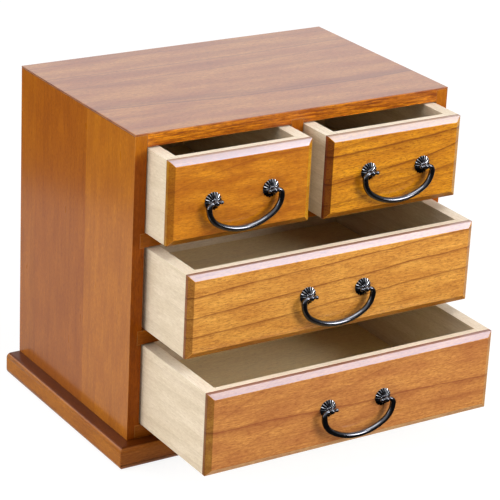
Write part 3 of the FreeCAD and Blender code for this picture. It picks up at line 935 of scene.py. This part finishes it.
def postMesh(part):
    def ring(radius, forward, rub=0.5):
        points = []
        for spot in range(part["sides"]):
            angle = 2 * math.pi * spot / part["sides"]
            wide = radius * mm
            points.append((wide * math.cos(angle), -forward * mm, wide * math.sin(angle)))
        return points, rub

    shank, neck, ball = part["shankRadius"], part["neckRadius"], part["ballRadius"]
    start, reach = rosette["hubHeight"] + 0.05, pull["reach"]
    rings = [ring(shank - 0.35, -part["shankEnd"])]
    for turn in range(part["threadRings"]):  # the thread that shows beyond the nut
        forward = -part["shankEnd"] + part["threadStart"] + turn * part["threadStep"]
        rings.append(ring(shank if turn % 2 else shank - part["threadDeep"], forward))
    rings += [
        ring(shank, start - 0.05),
        ring(part["collarRadius"] - 0.1, start),
        ring(part["collarRadius"], start + 0.12, 0.7),
        ring(part["collarRadius"], start + part["collarHeight"] - 0.12, 0.7),
        ring(part["collarRadius"] - 0.15, start + part["collarHeight"], 0.5),
        ring(neck, start + part["collarHeight"] + 0.08, 0.2),
        ring(neck, start + part["collarHeight"] + 0.35, 0.2),
    ]
    first = math.asin(neck / ball)
    for step in range(part["ballRings"]):
        angle = first + (math.pi - first) * step / part["ballRings"]
        forward = reach - ball * math.cos(angle)
        rings.append(ring(ball * math.sin(angle), forward, part["ballRub"]))
    rings.append(ring(0.02, reach + ball, 0.6))
    solid = bpy.data.objects.new("postSolid", latheMesh(rings))
    drillForm = drillMesh(part["eyeRadius"], reach, ball * 1.3, part["sides"])
    drill = bpy.data.objects.new("eyeDrill", drillForm)
    for item in (solid, drill):
        scene.collection.objects.link(item)
    cut = solid.modifiers.new("eye", "BOOLEAN")
    cut.operation = "DIFFERENCE"
    cut.solver = "EXACT"
    cut.object = drill
    bpy.context.view_layer.update()
    shown = solid.evaluated_get(bpy.context.evaluated_depsgraph_get())
    mesh = bpy.data.meshes.new_from_object(shown)
    for item in (solid, drill):
        bpy.data.objects.remove(item)
    return mesh


def drillMesh(radius, reach, half, sides):
    rings = []
    for x in (-half, half):
        points = []
        for spot in range(sides):
            angle = 2 * math.pi * spot / sides
            points.append((
                x * mm, (radius * math.cos(angle) - reach) * mm, radius * mm * math.sin(angle),
            ))
        rings.append((points, 0.0))
    return latheMesh(rings)


def bailPath(part):
    # the wire's middle line from the right-hand ball to the left-hand one, as (x, z)
    fall = part["drop"] - part["elbow"]
    inset = part["half"] - part["shoulder"]
    sweep = (inset ** 2 + fall ** 2 - part["shoulder"] ** 2) / (2 * (fall - part["shoulder"]))
    elbow = Vector((part["half"] - part["elbow"], -part["elbow"]))
    shoulder = Vector((inset, -part["elbow"]))
    middle = Vector((0, sweep - part["drop"]))
    turn = (shoulder - middle).normalized()
    last = math.atan2(turn.y, turn.x)
    path = [Vector((pull["postHalf"] - part["tipInset"], 0)), elbow + Vector((0, part["elbow"]))]
    arcs = [
        (elbow, part["elbow"], math.pi / 2, 0),
        (shoulder, part["shoulder"], 0, last),
        (middle, sweep, last, -math.pi / 2),
    ]
    for centre, radius, begin, end in arcs:
        steps = max(4, round(abs(end - begin) * radius / part["step"]))
        for step in range(1, steps + 1):
            angle = begin + (end - begin) * step / steps
            path.append(centre + Vector((math.cos(angle), math.sin(angle))) * radius)
    return path + [Vector((-spot.x, spot.y)) for spot in reversed(path[:-1])]


def bailMesh(part):
    path = bailPath(part)
    tip, pin = part["tipRadius"], part["pin"]
    ends = []  # from the outside of the tip's ball to the pin, as (distance, radius)
    for step in range(1, part["tipRings"] + 1):
        angle = math.pi * step / part["tipRingsHalf"]
        ends.append((-tip * math.cos(angle), tip * math.sin(angle)))
    ends = [(-tip, 0.02)] + ends
    ends += [(tip * part["tipEnd"], pin), (part["tipInset"] + part["pinPast"], pin)]
    length = [0.0]
    for first, second in zip(path, path[1:]):
        length.append(length[-1] + (second - first).length)
    total = length[-1]
    firstRun = part["half"] - part["elbow"] - path[0].x  # inside the eye and out to the bend
    bend = part["elbow"] * math.pi / 2
    spots = []
    for distance, radius in ends:
        spots.append((path[0] + Vector((distance, 0)), Vector((1, 0)), radius, part["ballRub"]))
    for index in range(1, len(path) - 1):
        heading = (path[index + 1] - path[index - 1]).normalized()
        run = min(length[index], total - length[index]) - firstRun
        if run < bend:
            swell = max(0, run / bend)
            radius = part["neck"] + (part["side"] - part["neck"]) * swell ** part["swellBend"]
            rub = part["bendRub"] + (part["sideRubAndSheen"] - part["bendRub"]) * swell
        else:
            share = (run - bend) / (total / 2 - firstRun - bend)
            radius = part["side"] + (part["middle"] - part["side"]) * share
            rub = part["sideRubAndSheen"] + (part["middleRub"] - part["sideRubAndSheen"]) * share
        spots.append((path[index], heading, radius, rub))
    for distance, radius in reversed(ends):
        spots.append((path[-1] - Vector((distance, 0)), Vector((-1, 0)), radius, part["ballRub"]))
    rings = []
    for centre, heading, radius, rub in spots:
        side = Vector((-heading.y, heading.x))
        points = []
        for spot in range(part["sides"]):
            angle = 2 * math.pi * spot / part["sides"]
            flat = centre + side * (radius * math.cos(angle))
            points.append((flat.x * mm, radius * mm * math.sin(angle), flat.y * mm))
        rings.append((points, rub))
    return latheMesh(rings)


def pullFrame(drawer):
    # the middle of the pull at the face, read from the frame's own posts and face
    low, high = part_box(f"{drawer}_posts")
    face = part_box(f"{drawer}_face")[0].y
    centre = Vector(((low.x + high.x) / 2, face, (low.z + high.z) / 2))
    tilt = math.radians(pull["tilts"][drawer])
    return Matrix.Translation(centre) @ Matrix.Rotation(-tilt, 4, "Y")


def pairMesh(name, single, place, half):
    # one form at each end of the pull
    form = bmesh.new()
    for side in (-1, 1):
        copy = single.copy()
        copy.transform(place @ Matrix.Translation((side * half * mm, 0, 0)))
        form.from_mesh(copy)
        bpy.data.meshes.remove(copy)
    mesh = bpy.data.meshes.new(name)
    form.to_mesh(mesh)
    form.free()
    mesh.set_sharp_from_angle(angle=math.radians(pull["crease"]))
    return mesh


rosetteForm = rosetteMesh(rosette)
postForm = postMesh(post)
bailForm = bailMesh(bail)
for drawer in faceLooks:
    body = f"{drawer}_drawer"
    place = pullFrame(drawer)
    for kind, form in (("rosettes", rosetteForm), ("posts", postForm)):
        mesh = pairMesh(f"{drawer}_{kind}_metal", form, place, pull["postHalf"])
        newPiece(mesh.name, mesh, pullMaterial, body, "dark_metal", f"{drawer}_{kind}")
    mesh = bailForm.copy()
    mesh.name = f"{drawer}_bail_metal"
    mesh.transform(place @ Matrix.Translation((0, -pull["reach"] * mm, 0)))
    newPiece(mesh.name, mesh, pullMaterial, f"{drawer}_bail", "dark_metal", f"{drawer}_bail")
    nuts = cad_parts[f"{drawer}_nuts"]
    nuts.data.materials.clear()
    nuts.data.materials.append(nutMaterial)
print("pulls made")


# studio

studio = {
    "ambient": (0.92, 0.94, 1.0),
    "ambientLevel": 0.25,
    "dimLevel": 0.15,
    "whiteBehind": (-0.3, 0.3),
    "whiteAbove": (0.25, 0.6),
    "bandLevel": 0.5,
    "bandBehind": (0.35, 0.6),
    "bandAbove": (0.5, 0.7),
    "floorRadius": 5.0,
    "floorColour": (0.82, 0.81, 0.80),
    "floorSeen": (0.17, 0.17, 0.17),
    "floorMirrored": (0.03, 0.03, 0.03),
    "floorGlow": 0.90,
    "farFloor": (0.4, 3.0),  # squared metres from the middle
    "floorShine": 0.58,
    "shineTurn": (-0.870, 0.493),
    "shineLeft": (0.49, 0.57),
    "shineFront": (-0.28, -0.18),
    "lamps": (
        # name, azimuth, elevation, distance, size, power, colour
        ("key", 36, 22, 2.4, 0.9, 42, (1.0, 0.965, 0.975)),
        ("fill", -97, 18, 1.8, 1.1, 18, (1.0, 0.98, 0.96)),
        ("rear", 215, 32, 1.8, 1.2, 8, (1.0, 0.98, 0.97)),
        ("overhead", 15, 66, 1.6, 0.8, 12, (1.0, 0.99, 0.96)),
    ),
    "aim": (0.0, -0.16, 0.13),
}


def around(azimuth, elevation, distance):
    turn, rise = math.radians(azimuth), math.radians(elevation)
    flat = math.cos(rise) * distance
    return Vector((math.sin(turn) * flat, -math.cos(turn) * flat, math.sin(rise) * distance))


def makeLamp(name, azimuth, elevation, distance, size, power, colour):
    lamp = bpy.data.lights.new(name, "AREA")
    lamp.shape = "SQUARE"
    lamp.size = size
    lamp.energy = power
    lamp.color = colour
    piece = bpy.data.objects.new(name, lamp)
    scene.collection.objects.link(piece)
    away = around(azimuth, elevation, distance)
    piece.location = Vector(studio["aim"]) + away
    piece.rotation_euler = away.to_track_quat("Z", "Y").to_euler()


def rayShare(graph):  # 1 for the rays that see or mirror the world, 0 for those that light
    names = ("Is Camera Ray", "Is Glossy Ray", "Is Transmission Ray")
    seen, mirrored, through = (
        graph.add("ShaderNodeLightPath", output=name) for name in names
    )
    return (seen + mirrored + through).lower(1.0)


def makeWorld():
    world = bpy.data.worlds.new("studioWorld")
    scene.world = world
    graph = Graph(world)
    soft = graph.add("ShaderNodeBackground", {}, [studio["ambient"], studio["ambientLevel"]])
    # the backdrop is white above and behind, and the room in front of it is dim
    away = graph.add("ShaderNodeTexCoord", output="Generated")
    behind = graph.add("ShaderNodeSeparateXYZ", {}, [away], 1)
    above = graph.add("ShaderNodeSeparateXYZ", {}, [away], 2)
    high = between(graph, above, *studio["whiteAbove"])
    bright = between(graph, behind, *studio["whiteBehind"]).higher(high)
    # a brighter band low behind the cabinet shows in its top
    band = between(graph, behind, *studio["bandBehind"])
    band = band * (1 - between(graph, above, *studio["bandAbove"]))
    camera = graph.add("ShaderNodeLightPath", output="Is Camera Ray")
    level = bright * (1 - studio["dimLevel"]) + studio["dimLevel"] + band * studio["bandLevel"]
    level = level * (1 - camera) + camera
    white = graph.add("ShaderNodeBackground", {}, [(1.0, 1.0, 1.0), level])
    shader = graph.add("ShaderNodeMixShader", {}, [rayShare(graph), soft, white])
    graph.add("ShaderNodeOutputWorld", {}, {"Surface": shader})


def makeFloor():
    form = bmesh.new()
    bmesh.ops.create_circle(form, cap_ends=True, radius=studio["floorRadius"], segments=64)
    mesh = bpy.data.meshes.new("floor")
    form.to_mesh(mesh)
    form.free()
    material = bpy.data.materials.new("paleFloor")
    graph = Graph(material)
    x, y = objectAxes(graph, 1.0)[:2]
    camera = graph.add("ShaderNodeLightPath", output="Is Camera Ray")
    glossy = graph.add("ShaderNodeLightPath", output="Is Glossy Ray")
    # in reflections the floor shines only behind the drawers' fronts, and not far to the left
    turnX, turnY = studio["shineTurn"]
    shine = 1 - between(graph, x * turnX + y * turnY, *studio["shineLeft"])
    shine = shine * between(graph, y, *studio["shineFront"]) * studio["floorShine"]
    paint = blend(graph, camera, studio["floorColour"], studio["floorSeen"])
    paint = blend(graph, glossy, paint, studio["floorMirrored"])
    matt = graph.add("ShaderNodeBsdfDiffuse", {}, [paint])
    # the lamps light the far floor less, so it glows more
    far = between(graph, x * x + y * y, *studio["farFloor"]) * (1 - studio["floorGlow"])
    glow = camera * (far + studio["floorGlow"]) + glossy * shine
    white = graph.add("ShaderNodeEmission", {}, [(1.0, 1.0, 1.0), glow])
    shader = graph.add("ShaderNodeAddShader", {}, [matt, white])
    graph.add("ShaderNodeOutputMaterial", {}, {"Surface": shader})
    mesh.materials.append(material)
    floor = bpy.data.objects.new("floor", mesh)
    scene.collection.objects.link(floor)


makeWorld()
makeFloor()
for lamp in studio["lamps"]:
    makeLamp(*lamp)
print("studio made")


# camera

view = {
    "target": (0.0, -0.134, 0.1392),
    "azimuth": -33.093,
    "elevation": 21.944,
    "roll": 2.874,
    "distance": 1.857,
    "across": 0.039 * mm,
    "upward": -0.175 * mm,
    "sensor": 36,
    "lens": 2185.4 * 36 / 500,  # 2185.4 pixels in a frame of 500
    "clip": (0.05, 30),
}


def makeCamera():
    away = around(view["azimuth"], view["elevation"], 1.0)
    right = (-away).cross(Vector((0, 0, 1))).normalized()
    upward = right.cross(-away)
    roll = math.radians(view["roll"])
    turnedRight = right * math.cos(roll) + upward * math.sin(roll)
    turnedUp = upward * math.cos(roll) - right * math.sin(roll)
    spot = Vector(view["target"]) + away * view["distance"]
    spot += turnedRight * view["across"] + turnedUp * view["upward"]
    lens = bpy.data.cameras.new("camera")
    lens.sensor_width = view["sensor"]
    lens.lens = view["lens"]
    lens.clip_start, lens.clip_end = view["clip"]
    camera = bpy.data.objects.new("camera", lens)
    scene.collection.objects.link(camera)
    turn = Matrix((turnedRight, turnedUp, away)).transposed()
    camera.matrix_world = Matrix.Translation(spot) @ turn.to_4x4()
    scene.camera = camera


makeCamera()
scene.view_settings.view_transform = "Standard"
bpy.context.view_layer.update()
print("camera set")
